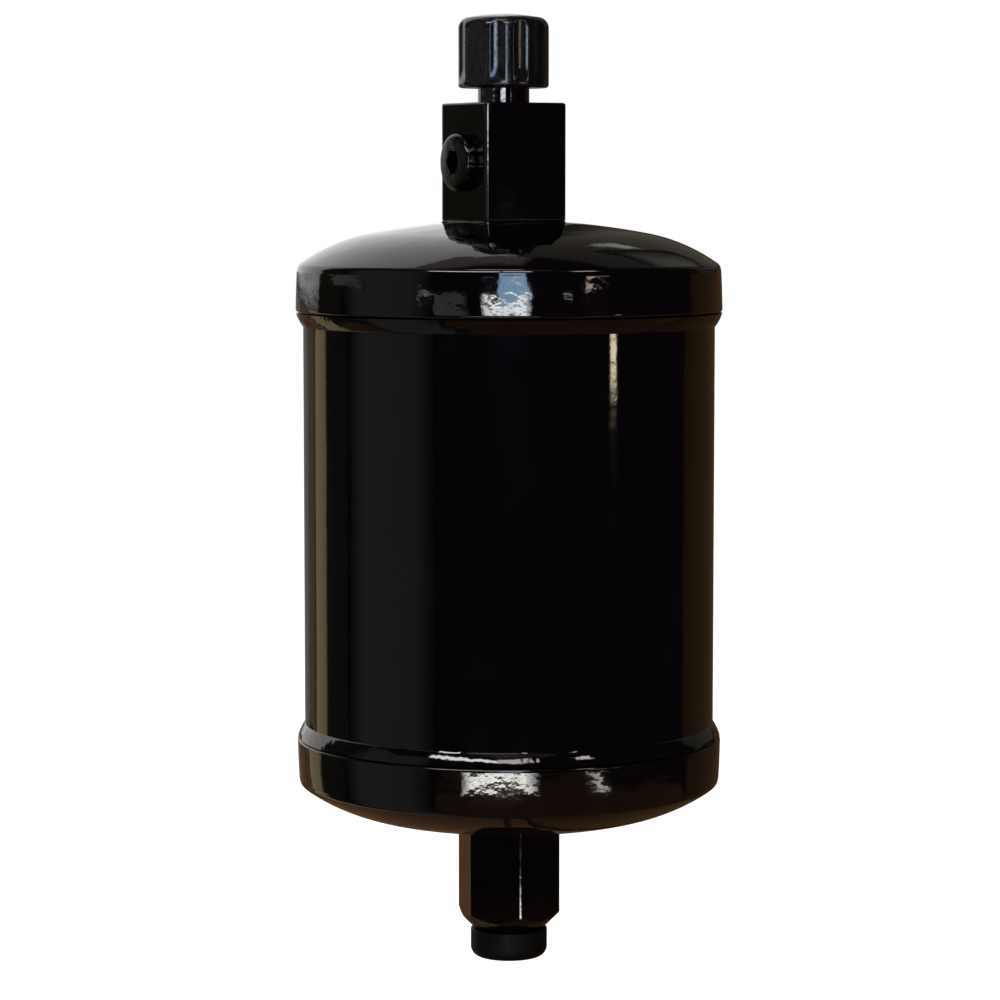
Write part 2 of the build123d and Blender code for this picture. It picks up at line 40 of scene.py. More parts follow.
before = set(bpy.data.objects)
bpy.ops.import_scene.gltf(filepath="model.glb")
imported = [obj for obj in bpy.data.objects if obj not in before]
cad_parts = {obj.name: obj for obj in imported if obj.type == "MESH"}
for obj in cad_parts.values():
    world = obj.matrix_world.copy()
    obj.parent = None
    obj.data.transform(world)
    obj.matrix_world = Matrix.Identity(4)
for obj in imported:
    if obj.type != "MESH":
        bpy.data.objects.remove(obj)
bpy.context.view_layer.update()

MM = 0.001
ROUND_STEPS = 192
FINE_STEPS = 256

# Canister
CROWN_R = 160.0 * MM
KNUCKLE_R = 38.0 * MM
KNUCKLE_WIDTH = 14.45 * MM
SHEET = 1.6 * MM
TUBE_WALL = 1.5 * MM
SHOULDER_R = 1.6 * MM
SEAT_SINK = 0.35 * MM
SKIRT_WIDEST = 0.6 * MM
# Height above the lip in mm, with the skirt's lean there in degrees
SKIRT_LEANS = ((0.6, 1.25), (2.0, 1.3), (3.2, 1.5), (5.4, 2.0), (6.4, 2.8), (12.0, 2.9))
SKIRT_HEIGHT = 10.6 * MM
LIP_ROUND = 0.6 * MM
WELD_RIPPLE = 0.006 * MM
WELD_PITCH = 1.5 * MM
SEAM_SWELL = 0.18 * MM
SEAM_WAVER = 0.35 * MM
SEAM_ROOT = 0.2 * MM
SEAM_HELD = 0.12 * MM

# Inlet block and its plug
BLOCK_SIDE = 20.0 * MM
BLOCK_TURN = math.radians(30)
BLOCK_EDGE = 0.5 * MM
BLOCK_CORNER = 1.0 * MM
BRAZE_LEG = 0.12 * MM
BRAZE_STEPS = 8
BRAZE_RISE_SHARE = 0.95
BRAZE_CORNER_SHARE = 0.8
BRAZE_TUCK = 1.0 * MM
BLOCK_BRAZE_ROOT = 1.0 * MM
SPIGOT_R = 6.35 * MM
PORT_ANGLE = math.radians(210)
PORT_R = 4.7625 * MM
PORT_PITCH = 25.4 / 24 * MM
POCKET_R = 5.5025 * MM
POCKET_DEPTH = 1.6 * MM
PLUG_HEAD_R = 6.1525 * MM
PLUG_HEAD = 2.5 * MM
PLUG_NECK_R = 3.9525 * MM
PLUG_THREAD = 4.3 * MM
PLUG_SOCKET_AF = 4.76 * MM
PLUG_SOCKET_DEPTH = 2.2 * MM
PLUG_TIP = 0.6 * MM
PLUG_EDGE = 0.25 * MM
PLUG_RIM = 1.0 * MM
SOCKET_BREAK_WIDTH = 0.1 * MM
SOCKET_BREAK_DEPTH = 0.08 * MM
PLUG_THREAD_START = 0.1 * MM
PLUG_THREAD_FADE = 0.3 * MM
FLANGE_GAP = 0.05 * MM
TOOL_REACH = 1.0 * MM

# Service valve
STEM_R = 5.556 * MM
STEM_SPIGOT_R = 4.706 * MM
STEM_SPIGOT = 6.0 * MM
STEM_CHAMFER = 0.8 * MM
STEM_PITCH = 1.27 * MM
STEM_BORE_R = 1.9 * MM
VALVE_BORE_R = 2.65 * MM
VALVE_BORE = 7.5 * MM
VALVE_SEAT = 1.0 * MM
VALVE_LIP = 0.2 * MM
STEM_THREAD_START = 0.6 * MM
STEM_THREAD_FADE = 0.8 * MM
NECK_PAINT = 0.5 * MM
CAP_BORE_R = 5.606 * MM
CAP_EDGE_WIDTH = 2.3 * MM
CAP_EDGE_HEIGHT = 2.4 * MM
CAP_CROWN = 0.7 * MM
CAP_FOOT_R = 0.8 * MM
CAP_MOUTH_CHAMFER = 0.4 * MM
CAP_SKIN = 0.5 * MM
GASKET_THICK = 1.6 * MM
PIN_SPRING_WIRE_R = 0.14 * MM
PIN_SPRING_TURNS = 6
FLUTES = 12
FLUTE_PHASE = math.radians(-82.4 + 15)
FLUTE_R = 3.0 * MM
FLUTE_DEPTH = 0.5 * MM
FLUTE_FOOT = 1.1 * MM
FLUTE_RUNOUT = 3.0 * MM

# Outlet fitting and dust cap
HEX_AF = 20.0 * MM
HEX_TURN = math.radians(-16.7)
HEX_LENGTH = 23.2 * MM
HEX_NOSE_R = 7.594 * MM
HEX_CORNER = 0.06 * MM
HEX_BRAZE_CORNER = 0.35 * MM
HEX_BRAZE_ROOT = 0.7 * MM
HEX_BRAZE_ROOT_CORNER = 0.18 * MM
OUTLET_R = 7.144 * MM
OUTLET_LENGTH = 5.1 * MM
OUTLET_CHAMFER = 1.0 * MM
OUTLET_BORE_R = 2.4 * MM
OUTLET_PITCH = 25.4 / 18 * MM
OUTLET_THREAD_GAP = 0.3 * MM
OUTLET_THREAD_FADE = 0.6 * MM
FACE_RING_R = 4.744 * MM
FACE_GROOVE = 0.9 * MM
FACE_GROOVE_DEPTH = 1.5 * MM
DUST_CAP_EDGE = 2.17 * MM
DUST_CAP_FLOOR = 0.9 * MM
DUST_CAP_SLIP = 0.05 * MM
DUST_CAP_LIP = 0.35 * MM

# Threads and welds, as their node trees shape them
THREAD_DEPTH_SHARE = 0.6
THREAD_FLANK = 2.6
THREAD_CREST = 0.15
WELD_GRAIN = 130.0
WELD_LEAN = 900.0
WELD_STRAY = 2.0

# Levels that follow from the frame
TUBE_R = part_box("canister_tube")[1].x
TUBE_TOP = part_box("canister_tube")[1].z
CAP_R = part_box("inlet_end_cap")[1].x
CAP_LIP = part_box("inlet_end_cap")[0].z
BEAD_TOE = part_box("inlet_seam_bead")[0].z
BLOCK_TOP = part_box("inlet_block")[1].z
PORT_Z = (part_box("port_plug")[0].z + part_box("port_plug")[1].z) / 2
BLOCK_HEIGHT = 2 * (BLOCK_TOP - PORT_Z)
BLOCK_FOOT = BLOCK_TOP - BLOCK_HEIGHT
BLOCK_X = (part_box("valve_stem")[0].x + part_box("valve_stem")[1].x) / 2
STEM_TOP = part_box("valve_stem")[1].z
ACCESS_CAP_R = (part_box("access_cap")[1].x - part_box("access_cap")[0].x) / 2
ACCESS_CAP_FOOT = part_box("access_cap")[0].z
ACCESS_CAP_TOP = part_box("access_cap")[1].z
HEX_FACE = -BLOCK_FOOT
HEX_END = HEX_FACE - HEX_LENGTH
OUTLET_END = HEX_END - OUTLET_LENGTH
DUST_CAP_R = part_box("dust_cap")[1].x
DUST_CAP_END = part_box("dust_cap")[0].z
DUST_CAP_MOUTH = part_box("dust_cap")[1].z
SPIGOT_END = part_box("outlet_fitting")[1].z


# Shapes


def circle(radius):
    """A ring's radius at any angle, for a round section."""
    return lambda angle: radius


def polygon(sides, across_flats, turn, corner=0.0):
    """A ring's radius at any angle, for a regular polygon with a flat's normal at the turn."""
    half = across_flats / 2
    step = 2 * math.pi / sides
    middle = (half - corner) / math.cos(step / 2)
    tangent = math.atan((half - corner) * math.tan(step / 2) / half) + 1e-9

    def radius(angle):
        off = (angle - turn + step / 2) % step - step / 2
        flat = half / math.cos(off)
        if abs(off) <= tangent:
            return flat
        lean = step / 2 - abs(off)
        reach = middle * math.sin(lean)
        return middle * math.cos(lean) + math.sqrt(corner**2 - reach**2)

    return radius


def least(first, second):
    """The smaller of two ring radii at every angle."""
    return lambda angle: min(first(angle), second(angle))


def arc_points(radius, centre, start, end, steps):
    """(radius, height) points on an arc about a centre, between angles from +Z."""
    turns = [start + (end - start) * i / steps for i in range(steps + 1)]
    return [(centre[0] + radius * math.sin(a), centre[1] + radius * math.cos(a)) for a in turns]


def loft(name, rings, steps=ROUND_STEPS, closed=False):
    """A mesh object through rings of (radius function, height), closed into a loop or ended on flat faces."""
    mesh = bpy.data.meshes.new(name)
    shape = bmesh.new()
    angles = [2 * math.pi * i / steps for i in range(steps)]
    loops = []
    for radius, height in rings:
        ring = [(radius(a) * math.cos(a), radius(a) * math.sin(a), height) for a in angles]
        loops.append([shape.verts.new(point) for point in ring])
    pairs = list(zip(loops, loops[1:]))
    if closed:
        pairs.append((loops[-1], loops[0]))
    for low, high in pairs:
        for i in range(steps):
            j = (i + 1) % steps
            shape.faces.new((low[i], low[j], high[j], high[i]))
    if not closed:
        shape.faces.new(loops[0])
        shape.faces.new(loops[-1])
    bmesh.ops.remove_doubles(shape, verts=shape.verts, dist=1e-7)
    bmesh.ops.recalc_face_normals(shape, faces=shape.faces)
    shape.to_mesh(mesh)
    shape.free()
    piece = bpy.data.objects.new(name, mesh)
    bpy.context.scene.collection.objects.link(piece)
    return piece


def turned(name, outline, steps=ROUND_STEPS, closed=False):
    """A piece turned about Z from (radius, height) points."""
    return loft(name, [(circle(r), z) for r, z in outline], steps, closed)


def smooth(piece, sharp_degrees=30):
    """Shades a piece smooth, with sharp edges where faces meet at more than an angle."""
    piece.data.shade_smooth()
    piece.data.set_sharp_from_angle(angle=math.radians(sharp_degrees))
    return piece


def weighted(piece):
    """Lets the largest faces set the shading, so flat faces stay flat up to their rounded edges."""
    steer = piece.modifiers.new("steer", "WEIGHTED_NORMAL")
    steer.mode = "FACE_AREA"
    steer.keep_sharp = True
    return baked(piece)


def place(piece, matrix):
    """Moves a piece's vertices, so that its object stays at the origin."""
    piece.data.transform(matrix)
    piece.data.update()
    return piece


def baked(piece):
    """Turns a piece's modifiers into plain mesh."""
    bpy.context.view_layer.update()
    shown = piece.evaluated_get(bpy.context.evaluated_depsgraph_get())
    mesh = bpy.data.meshes.new_from_object(shown)
    piece.modifiers.clear()
    piece.data = mesh
    return piece


def cut(piece, tool):
    """Takes a tool's volume out of a piece."""
    knife = piece.modifiers.new("cut", "BOOLEAN")
    knife.operation = "DIFFERENCE"
    knife.solver = "EXACT"
    knife.object = tool
    baked(piece)
    bpy.data.objects.remove(tool)
    return piece


def finished(piece, material, body, node):
    """Gives a piece its finish and its place on a body, in a CAD node's stead."""
    piece.data.materials.clear()
    piece.data.materials.append(material)
    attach(piece, body)
    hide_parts(node)
    return piece


AT_BLOCK = Matrix.Translation((BLOCK_X, 0, 0))
UPSIDE_DOWN = Matrix.Rotation(math.pi, 4, "X")
AT_PORT = (
    Matrix.Translation((BLOCK_X, 0, PORT_Z))
    @ Matrix.Rotation(PORT_ANGLE, 4, "Z")
    @ Matrix.Rotation(math.pi / 2, 4, "Y")
)


# Node trees that shape what repeats


class Field:
    """A value in a node tree, so that a rule can be written as a sum."""

    def __init__(self, tree, socket):
        self.tree = tree
        self.socket = socket

    def math(self, operation, *others):
        node = self.tree.nodes.new("ShaderNodeMath")
        node.operation = operation
        for place_in, value in zip(node.inputs, (self, *others)):
            if isinstance(value, Field):
                self.tree.links.new(value.socket, place_in)
            else:
                place_in.default_value = value
        return Field(self.tree, node.outputs[0])

    def __add__(self, other):
        return self.math("ADD", other)

    def __sub__(self, other):
        return self.math("SUBTRACT", other)

    def __mul__(self, other):
        return self.math("MULTIPLY", other)

    def __truediv__(self, other):
        return self.math("DIVIDE", other)


def new_tree(name, sizes):
    """A geometry tree with named sizes; gives the tree, its input node and its output node."""
    tree = bpy.data.node_groups.new(name, "GeometryNodeTree")
    tree.interface.new_socket("Geometry", in_out="INPUT", socket_type="NodeSocketGeometry")
    for size in sizes:
        tree.interface.new_socket(size, in_out="INPUT", socket_type="NodeSocketFloat")
    tree.interface.new_socket("Finish", in_out="INPUT", socket_type="NodeSocketMaterial")
    tree.interface.new_socket("Geometry", in_out="OUTPUT", socket_type="NodeSocketGeometry")
    return tree, tree.nodes.new("NodeGroupInput"), tree.nodes.new("NodeGroupOutput")


def size_fields(tree, source, sizes):
    return [Field(tree, source.outputs[size]) for size in sizes]


def position_fields(tree):
    """X, Y and Z of a point, its distance from the Z axis and its angle round it."""
    place_node = tree.nodes.new("GeometryNodeInputPosition")
    split = tree.nodes.new("ShaderNodeSeparateXYZ")
    tree.links.new(place_node.outputs[0], split.inputs[0])
    x, y, z = (Field(tree, split.outputs[i]) for i in range(3))
    return x, y, z, (x * x + y * y).math("SQRT"), y.math("ARCTAN2", x)


def push_out(tree, source, target, x, y, radius, distance):
    """Moves every point away from the Z axis by a distance, then ends the tree."""
    joined = tree.nodes.new("ShaderNodeCombineXYZ")
    share = distance / radius.math("MAXIMUM", 1e-6)
    tree.links.new((x * share).socket, joined.inputs[0])
    tree.links.new((y * share).socket, joined.inputs[1])
    shift = tree.nodes.new("GeometryNodeSetPosition")
    tree.links.new(source.outputs["Geometry"], shift.inputs["Geometry"])
    tree.links.new(joined.outputs[0], shift.inputs["Offset"])
    real = tree.nodes.new("GeometryNodeRealizeInstances")
    paint = tree.nodes.new("GeometryNodeSetMaterial")
    tree.links.new(shift.outputs[0], real.inputs[0])
    tree.links.new(real.outputs[0], paint.inputs["Geometry"])
    tree.links.new(source.outputs["Finish"], paint.inputs["Material"])
    tree.links.new(paint.outputs[0], target.inputs[0])
    return tree


def thread_tree():
    """Sinks a V-shaped helical groove into the points at and beyond a radius, between two heights."""
    sizes = ("Pitch", "Depth", "From", "To", "Root", "Fade")
    tree, source, target = new_tree("screw_thread", sizes)
    pitch, depth, low, high, root, fade = size_fields(tree, source, sizes)
    x, y, z, radius, angle = position_fields(tree)
    turn = (z / pitch - angle / (2 * math.pi)).math("FRACT")
    flank = (turn - 0.5).math("ABSOLUTE") * THREAD_FLANK - THREAD_CREST
    ridge = flank.math("MAXIMUM", 0.0).math("MINIMUM", 1.0)
    begun = ((z - low) / fade).math("MAXIMUM", 0.0).math("MINIMUM", 1.0)
    ended = ((high - z) / fade).math("MAXIMUM", 0.0).math("MINIMUM", 1.0)
    groove = ridge * begun * ended * depth
    floor_r = radius - groove
    sunk = floor_r.math("MAXIMUM", root) - radius
    outside = radius.math("GREATER_THAN", root)
    return push_out(tree, source, target, x, y, radius, sunk * outside)


def flute_tree():
    """Sinks round-bottomed flutes into a cap's side, run out above its foot."""
    sizes = ("Count", "Phase", "Flute Radius", "Depth", "Side", "Foot", "Runout", "Inside")
    tree, source, target = new_tree("cap_flutes", sizes)
    count, phase, flute_r, depth, side, foot, runout, inside = size_fields(tree, source, sizes)
    x, y, z, radius, angle = position_fields(tree)
    step = count.math("POWER", -1.0) * (2 * math.pi)
    off = ((angle - phase) / step + 0.5).math("FRACT") - 0.5
    across = (off * step).math("SINE") * side
    room = (flute_r * flute_r - across * across).math("MAXIMUM", 0.0).math("SQRT")
    wall = side + flute_r - depth - room
    above = ((z - foot) / runout).math("MAXIMUM", 0.0).math("MINIMUM", 1.0)
    rise = above * 1.5 - above * above * 0.5
    sunk = ((wall - radius).math("MINIMUM", 0.0)) * rise
    outside = radius.math("GREATER_THAN", inside)
    return push_out(tree, source, target, x, y, radius, sunk * outside)


def weld_tree():
    """Raises and sinks a seam's face in overlapping ripples, with an uneven edge from noise."""
    sizes = ("Ripple", "Ripples", "Waver", "Inside")
    tree, source, target = new_tree("weld_ripples", sizes)
    ripple, ripples, waver, inside = size_fields(tree, source, sizes)
    x, y, z, radius, angle = position_fields(tree)
    noise = tree.nodes.new("ShaderNodeTexNoise")
    noise.inputs["Scale"].default_value = WELD_GRAIN
    noise.inputs["Detail"].default_value = 2.0
    rough = Field(tree, noise.outputs[0]) - 0.5
    lean = z.math("ABSOLUTE") * WELD_LEAN
    beat = (angle * ripples + lean + rough * WELD_STRAY).math("SINE")
    outside = radius.math("GREATER_THAN", inside)
    distance = (beat * ripple + rough * waver - ripple) * outside
    return push_out(tree, source, target, x, y, radius, distance)


def shaped(piece, tree, material, **values):
    """Runs a tree on a piece with these values for its named inputs, and keeps the result as plain mesh."""
    modifier = piece.modifiers.new(tree.name, "NODES")
    modifier.node_group = tree
    for item in tree.interface.items_tree:
        if item.item_type != "SOCKET" or item.in_out != "INPUT" or item.name == "Geometry":
            continue
        if item.name == "Finish":
            modifier[item.identifier] = material
        else:
            modifier[item.identifier] = float(values[item.name.replace(" ", "_").lower()])
    return baked(piece)


def threaded(piece, tree, material, pitch, low, high, root, fade):
    """Cuts a thread between two heights, no deeper than its root and faded at both ends."""
    sizes = {"pitch": pitch, "depth": pitch * THREAD_DEPTH_SHARE}
    sizes |= {"from": low, "to": high, "root": root, "fade": fade}
    return shaped(piece, tree, material, **sizes)


# Finishes


def new_material(name):
    material = bpy.data.materials.new(name)
    material.use_nodes = True
    return material, material.node_tree, material.node_tree.nodes["Principled BSDF"]


def noise_bump(tree, shader, layers, socket="Normal"):
    """Bump from layers of noise on Object coordinates, each (scale, detail, height in metres)."""
    coordinates = tree.nodes.new("ShaderNodeTexCoord")
    below = None
    for scale, detail, height in layers:
        noise = tree.nodes.new("ShaderNodeTexNoise")
        noise.inputs["Scale"].default_value = scale
        noise.inputs["Detail"].default_value = detail
        tree.links.new(coordinates.outputs["Object"], noise.inputs["Vector"])
        bump = tree.nodes.new("ShaderNodeBump")
        bump.inputs["Distance"].default_value = height
        tree.links.new(noise.outputs[0], bump.inputs["Height"])
        if below is not None:
            tree.links.new(below, bump.inputs["Normal"])
        below = bump.outputs[0]
    tree.links.new(below, shader.inputs[socket])
    return coordinates


def varied(tree, coordinates, shader, socket, scale, low, high, detail=3.0):
    """Drives a socket from noise between two values or colours."""
    noise = tree.nodes.new("ShaderNodeTexNoise")
    noise.inputs["Scale"].default_value = scale
    noise.inputs["Detail"].default_value = detail
    ramp = tree.nodes.new("ShaderNodeValToRGB")
    ramp.color_ramp.elements[0].position = 0.35
    ramp.color_ramp.elements[1].position = 0.68
    for stop, value in zip(ramp.color_ramp.elements, (low, high)):
        stop.color = (*value, 1) if isinstance(value, tuple) else (value, value, value, 1)
    tree.links.new(coordinates.outputs["Object"], noise.inputs["Vector"])
    tree.links.new(noise.outputs[0], ramp.inputs[0])
    tree.links.new(ramp.outputs[0], shader.inputs[socket])
    return ramp


def gloss_enamel(name, wave, peel, drip=0.0):
    """Glossy black enamel: long waves and orange peel, with slower runs where it lies thick."""
    material, tree, shader = new_material(name)
    layers = [(90.0, 1.0, wave), (520.0, 2.0, peel)]
    if drip:
        layers.insert(0, (34.0, 1.0, drip))
    coordinates = noise_bump(tree, shader, layers)
    varied(tree, coordinates, shader, "Base Color", 60.0, (0.0008, 0.0006, 0.0009), (0.0016, 0.0012, 0.0014))
    varied(tree, coordinates, shader, "Roughness", 220.0, 0.035, 0.065)
    shader.inputs["IOR"].default_value = 1.5
    return material


def moulded_plastic(name, low, high, rough_low, rough_high, peel, shine=0.5):
    """Moulded black plastic, with how dull it is, how fine its texture and how strongly it reflects."""
    material, tree, shader = new_material(name)
    coordinates = noise_bump(tree, shader, [(160.0, 2.0, peel * 2), (900.0, 3.0, peel)])
    varied(tree, coordinates, shader, "Base Color", 180.0, low, high)
    varied(tree, coordinates, shader, "Roughness", 420.0, rough_low, rough_high)
    shader.inputs["Specular IOR Level"].default_value = shine
    return material


def seal_rubber():
    """Matt black rubber."""
    material, tree, shader = new_material("seal_rubber")
    coordinates = noise_bump(tree, shader, [(1400.0, 3.0, 0.00001)])
    varied(tree, coordinates, shader, "Base Color", 300.0, (0.012, 0.012, 0.012), (0.022, 0.021, 0.02))
    varied(tree, coordinates, shader, "Roughness", 500.0, 0.42, 0.6)
    return material


def bare_metal(name, low, high, rough_low, rough_high, scale, height):
    """Machined or drawn metal with a fine, uneven grain."""
    material, tree, shader = new_material(name)
    coordinates = noise_bump(tree, shader, [(scale, 3.0, height)])
    varied(tree, coordinates, shader, "Base Color", 240.0, low, high)
    varied(tree, coordinates, shader, "Roughness", scale / 2, rough_low, rough_high)
    shader.inputs["Metallic"].default_value = 1.0
    return material


def porous(name, low, high, scale, height):
    """Felt, sleeve or moulded desiccant: dull, open-textured and pale."""
    material, tree, shader = new_material(name)
    coordinates = noise_bump(tree, shader, [(scale, 6.0, height)])
    varied(tree, coordinates, shader, "Base Color", scale / 3, low, high, 6.0)
    varied(tree, coordinates, shader, "Roughness", scale, 0.75, 0.95)
    return material


def make_finishes():
    """Every finish on the object, by the kind of piece that wears it."""
    return {
        "canister": gloss_enamel("canister_enamel", 0.00003, 0.000008),
        "end_cap": gloss_enamel("end_cap_enamel", 0.00022, 0.00002, 0.0003),
        "seam": gloss_enamel("seam_enamel", 0.0003, 0.00003, 0.0004),
        "block": gloss_enamel("block_enamel", 0.00004, 0.00001),
        "hexagon": gloss_enamel("hexagon_enamel", 0.00005, 0.000012),
        "plug": moulded_plastic(
            "plug_finish",
            (0.001, 0.0008, 0.0008),
            (0.002, 0.0014, 0.0012),
            rough_low=0.1,
            rough_high=0.16,
            peel=0.00002,
            shine=0.3,
        ),
        "access_cap": moulded_plastic(
            "moulded_black",
            (0.0028, 0.0028, 0.0036),
            (0.005, 0.005, 0.006),
            rough_low=0.12,
            rough_high=0.2,
            peel=0.00002,
        ),
        "dust_cap": moulded_plastic(
            "soft_cap_plastic",
            (0.0034, 0.0022, 0.0018),
            (0.0056, 0.004, 0.0032),
            rough_low=0.48,
            rough_high=0.6,
            peel=0.00001,
            shine=0.12,
        ),
        "rubber": seal_rubber(),
        "stem": bare_metal("stem_brass", (0.42, 0.29, 0.11), (0.55, 0.4, 0.18), 0.22, 0.36, 700.0, 0.000006),
        "wire": bare_metal("spring_wire", (0.36, 0.36, 0.37), (0.5, 0.5, 0.5), 0.25, 0.4, 900.0, 0.000006),
        "pressed": bare_metal(
            "pressed_steel", (0.38, 0.38, 0.38), (0.52, 0.52, 0.51), 0.28, 0.45, 500.0, 0.00001
        ),
        "sleeve": porous("core_sleeve", (0.62, 0.61, 0.57), (0.75, 0.74, 0.7), 700.0, 0.00001),
        "felt": porous("felt_pad", (0.55, 0.52, 0.43), (0.76, 0.73, 0.65), 900.0, 0.0002),
        "desiccant": porous("desiccant_block", (0.6, 0.55, 0.46), (0.8, 0.76, 0.68), 420.0, 0.00015),
    }


# Canister


def skirt_inset(distance):
    """How far inside its widest line the skirt lies at a distance from the lip, added up from its leans."""
    steps = 60
    inset = 0.0
    for i in range(steps):
        at = (SKIRT_WIDEST + (distance - SKIRT_WIDEST) * (i + 0.5) / steps) / MM
        for (low, lean_low), (high, lean_high) in zip(SKIRT_LEANS, SKIRT_LEANS[1:]):
            if low <= at <= high:
                lean = lean_low + (lean_high - lean_low) * (at - low) / (high - low)
        inset += math.tan(math.radians(lean)) * (distance - SKIRT_WIDEST) / steps
    return inset


def dome_outline(inset):
    """(radius, height) points from the axis to the shoulder, down the cap's outside or, inset, its inside."""
    crown = CROWN_R - inset
    knuckle = KNUCKLE_R - inset
    wall = CAP_R - skirt_inset(SKIRT_HEIGHT) - inset
    knuckle_start = TUBE_R - KNUCKLE_WIDTH
    knuckle_angle = math.asin(knuckle_start / CROWN_R)
    knuckle_x = knuckle_start - KNUCKLE_R * math.sin(knuckle_angle)
    crown_z = BLOCK_FOOT - CROWN_R + SEAT_SINK
    knuckle_z = crown_z + (CROWN_R - KNUCKLE_R) * math.cos(knuckle_angle)
    corner = SHOULDER_R - inset / 2
    reach = knuckle - corner
    corner_angle = math.asin((wall - corner - knuckle_x) / reach)
    corner_z = knuckle_z + reach * math.cos(corner_angle)
    outline = arc_points(crown, (0, crown_z), 0, knuckle_angle, 24)
    outline += arc_points(knuckle, (knuckle_x, knuckle_z), knuckle_angle, corner_angle, 16)[1:]
    outline += arc_points(corner, (wall - corner, corner_z), corner_angle, math.pi / 2, 10)[1:]
    return outline


def skirt_outline(top):
    """The skirt's outside from the shoulder down to the rounded lip."""
    steps = 40
    low = CAP_LIP + LIP_ROUND
    heights = [top + (low - top) * i / steps for i in range(1, steps + 1)]
    points = [(CAP_R - skirt_inset(height - CAP_LIP), height) for height in heights]
    edge = points[-1][0]
    points += arc_points(LIP_ROUND, (edge - LIP_ROUND, low), math.pi / 2, math.pi, 6)[1:]
    return points


def make_end_cap(name):
    outside = dome_outline(0.0)
    skirt = skirt_outline(outside[-1][1])
    inside = dome_outline(SHEET)
    rim = [(TUBE_R, CAP_LIP)]
    outline = outside + skirt + rim + inside[::-1]
    return smooth(turned(name, outline, FINE_STEPS), 40)


def make_tube():
    bore = TUBE_R - TUBE_WALL
    outline = [(TUBE_R, -TUBE_TOP), (TUBE_R, TUBE_TOP), (bore, TUBE_TOP), (bore, -TUBE_TOP)]
    return smooth(turned("canister_shell", outline, FINE_STEPS, closed=True))


def make_seam(name, tree, material):
    """The weld between a cap's lip and the tube, standing a little proud, with its ripples."""
    leg = CAP_R - TUBE_R
    rows = 14
    face = []
    for i in range(rows + 1):
        share = i / rows
        swell = SEAM_SWELL * math.sin(math.pi * share)
        face.append((TUBE_R + leg * share + swell, BEAD_TOE + (CAP_LIP - BEAD_TOE) * share))
    face[-1] = (CAP_R - skirt_inset(LIP_ROUND) - LIP_ROUND, CAP_LIP)
    back = [(TUBE_R - SEAM_ROOT, CAP_LIP), (TUBE_R - SEAM_ROOT, BEAD_TOE)]
    piece = turned(name, face + back, 3 * FINE_STEPS, closed=True)
    shaped(
        piece,
        tree,
        material,
        ripple=WELD_RIPPLE,
        ripples=round(2 * math.pi * CAP_R / WELD_PITCH),
        waver=SEAM_WAVER,
        inside=TUBE_R + SEAM_HELD,
    )
    return smooth(piece, 60)


def make_canister(finishes, weld):
    finished(make_tube(), finishes["canister"], "canister", "canister_tube")
    for node, piece_name, turn in (
        ("inlet_end_cap", "inlet_dome", Matrix.Identity(4)),
        ("outlet_end_cap", "outlet_dome", UPSIDE_DOWN),
    ):
        cap = place(make_end_cap(piece_name), turn)
        finished(cap, finishes["end_cap"], "canister", node)
    for node, piece_name, turn in (
        ("inlet_seam_bead", "inlet_seam", Matrix.Identity(4)),
        ("outlet_seam_bead", "outlet_seam", UPSIDE_DOWN),
    ):
        seam = place(make_seam(piece_name, weld, finishes["seam"]), turn)
        finished(seam, finishes["seam"], "canister", node)


# Inlet block


def rounded_levels(low, high, edge, steps=5):
    """(inset, height) pairs that round a bar's two ends."""
    quarter = [math.pi / 2 * i / steps for i in range(steps + 1)]
    foot = [(edge * (1 - math.sin(a)), low + edge * (1 - math.cos(a))) for a in quarter]
    head = [(inset, high + low - height) for inset, height in foot[::-1]]
    return foot + head


def make_block():
    rings = []
    for inset, height in rounded_levels(BLOCK_FOOT, BLOCK_TOP, BLOCK_EDGE):
        section = polygon(4, BLOCK_SIDE - 2 * inset, BLOCK_TURN, BLOCK_CORNER)
        rings.append((section, height))
    block = place(loft("inlet_block_body", rings, steps=480), AT_BLOCK)
    face = BLOCK_SIDE / 2
    pocket = face - POCKET_DEPTH
    port = [(PORT_R, 0.0), (PORT_R, pocket), (POCKET_R, pocket), (POCKET_R, face + TOOL_REACH)]
    cut(block, place(turned("port_tool", port, steps=96), AT_PORT))
    return weighted(smooth(block, 25))


def braze_rings(sides, across, turn, corner, seat, rise):
    """Rings up a thin hollow fillet, from its toe to a bar's wall, then tucked in under the bar's surface."""
    rings = []
    for i in range(BRAZE_STEPS + 1):
        share = i / BRAZE_STEPS
        reach = BRAZE_LEG * (1 - math.sin(math.pi / 2 * share))
        height = seat + rise * (1 - math.cos(math.pi / 2 * share)) * BRAZE_RISE_SHARE
        section = polygon(sides, across + 2 * reach, turn, corner + BRAZE_LEG * BRAZE_CORNER_SHARE)
        rings.append((section, height))
    rings.append((polygon(sides, across - BRAZE_TUCK, turn), seat + rise * BRAZE_RISE_SHARE))
    return rings


def make_inlet_braze():
    """The thin fillet of braze round the block's foot, its own foot sunk in the dome."""
    rings = braze_rings(4, BLOCK_SIDE, BLOCK_TURN, BLOCK_CORNER, BLOCK_FOOT, BRAZE_LEG)
    root = (rings[0][0], BLOCK_FOOT - BLOCK_BRAZE_ROOT)
    return smooth(place(loft("inlet_braze_fillet", [root, *rings], steps=240), AT_BLOCK), 50)


